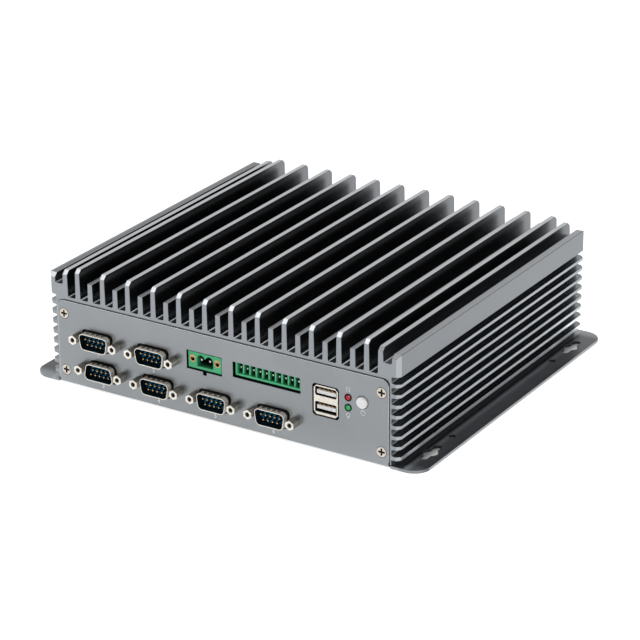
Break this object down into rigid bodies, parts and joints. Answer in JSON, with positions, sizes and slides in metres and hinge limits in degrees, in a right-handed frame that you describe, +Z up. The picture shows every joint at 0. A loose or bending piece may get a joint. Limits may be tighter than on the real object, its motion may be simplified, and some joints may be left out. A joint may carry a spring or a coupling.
{
  "type": "fanless industrial computer",
  "caption": "Low finned aluminium box computer on a folded sheet tray with mounting flanges; serial ports, green headers, stacked USB, lamps and a push button in front.",
  "frame": {"origin": "middle of the tray's underside", "axes": "+X along the connector panel to the right seen from the front, +Y from the connector panel to the rear panel, +Z up"},
  "size_m": [0.237, 0.203, 0.0653],
  "materials": {
    "panel_paint": "fine satin grey coat",
    "fin_aluminium": "grey anodised extrusion",
    "screw_plate": "nickel plated",
    "port_plate": "nickel plated, bright",
    "socket_plate": "tin plated sheet",
    "insulator_dark": "dark blue-green moulding",
    "gold_contact": "gold flashed",
    "insert_brass": "turned brass",
    "tin_pin": "tinned pin",
    "header_green": "mid green moulding",
    "tongue_white": "white moulding",
    "lamp_red": "tinted clear lamp",
    "lamp_green": "tinted clear lamp",
    "button_white": "smooth white cap",
    "black_plastic": "black moulding",
    "board_green": "solder resist",
    "chip_plate": "nickel lid on laminate",
    "pad_rubber": "soft thermal pad",
    "drive_case": "plain drive case"
  },
  "bodies": {
    "unit": {"base_screws": "screw_plate", "board_posts": "insert_brass", "board_screws": "screw_plate", "cell_holder": "black_plastic", "chassis_tray": "panel_paint", "coin_cell": "socket_plate", "display_shell": "socket_plate", "display_tongue": "black_plastic", "heat_block": "fin_aluminium", "heatsink_housing": "fin_aluminium", "jackscrews": "port_plate", "lan_insert_1": "black_plastic", "lan_insert_2": "black_plastic", "lan_shell_1": "socket_plate", "lan_shell_2": "socket_plate", "led_green": "lamp_green", "led_holders": "black_plastic", "led_red": "lamp_red", "main_board": "board_green", "memory_module": "board_green", "memory_socket": "black_plastic", "panel_screws": "screw_plate", "port_nuts": "port_plate", "power_header": "header_green", "power_header_inserts": "insert_brass", "power_header_pins": "tin_pin", "processor": "chip_plate", "serial_insulator_1": "insulator_dark", "serial_insulator_2": "insulator_dark", "serial_insulator_3": "insulator_dark", "serial_insulator_4": "insulator_dark", "serial_insulator_5": "insulator_dark", "serial_insulator_6": "insulator_dark", "serial_pins_1": "gold_contact", "serial_pins_2": "gold_contact", "serial_pins_3": "gold_contact", "serial_pins_4": "gold_contact", "serial_pins_5": "gold_contact", "serial_pins_6": "gold_contact", "serial_shell_1": "port_plate", "serial_shell_2": "port_plate", "serial_shell_3": "port_plate", "serial_shell_4": "port_plate", "serial_shell_5": "port_plate", "serial_shell_6": "port_plate", "signal_board": "board_green", "signal_header": "header_green", "signal_header_pins": "tin_pin", "signal_posts": "insert_brass", "storage_drive": "drive_case", "switch_housing": "black_plastic", "thermal_pads": "pad_rubber", "usb_front_contacts": "gold_contact", "usb_front_shell": "socket_plate", "usb_front_tongues": "tongue_white", "usb_rear_contacts": "gold_contact", "usb_rear_shell": "socket_plate", "usb_rear_tongues": "tongue_white"},
    "button": {"power_button": "button_white"}
  },
  "joints": [
    {"name": "button_press", "type": "slide", "parent": "unit", "child": "button", "axis": [0, 1, 0], "range_m": [0, 0.0012], "stiffness_N_per_m": 1200, "springref_m": -0.0004}
  ]
}
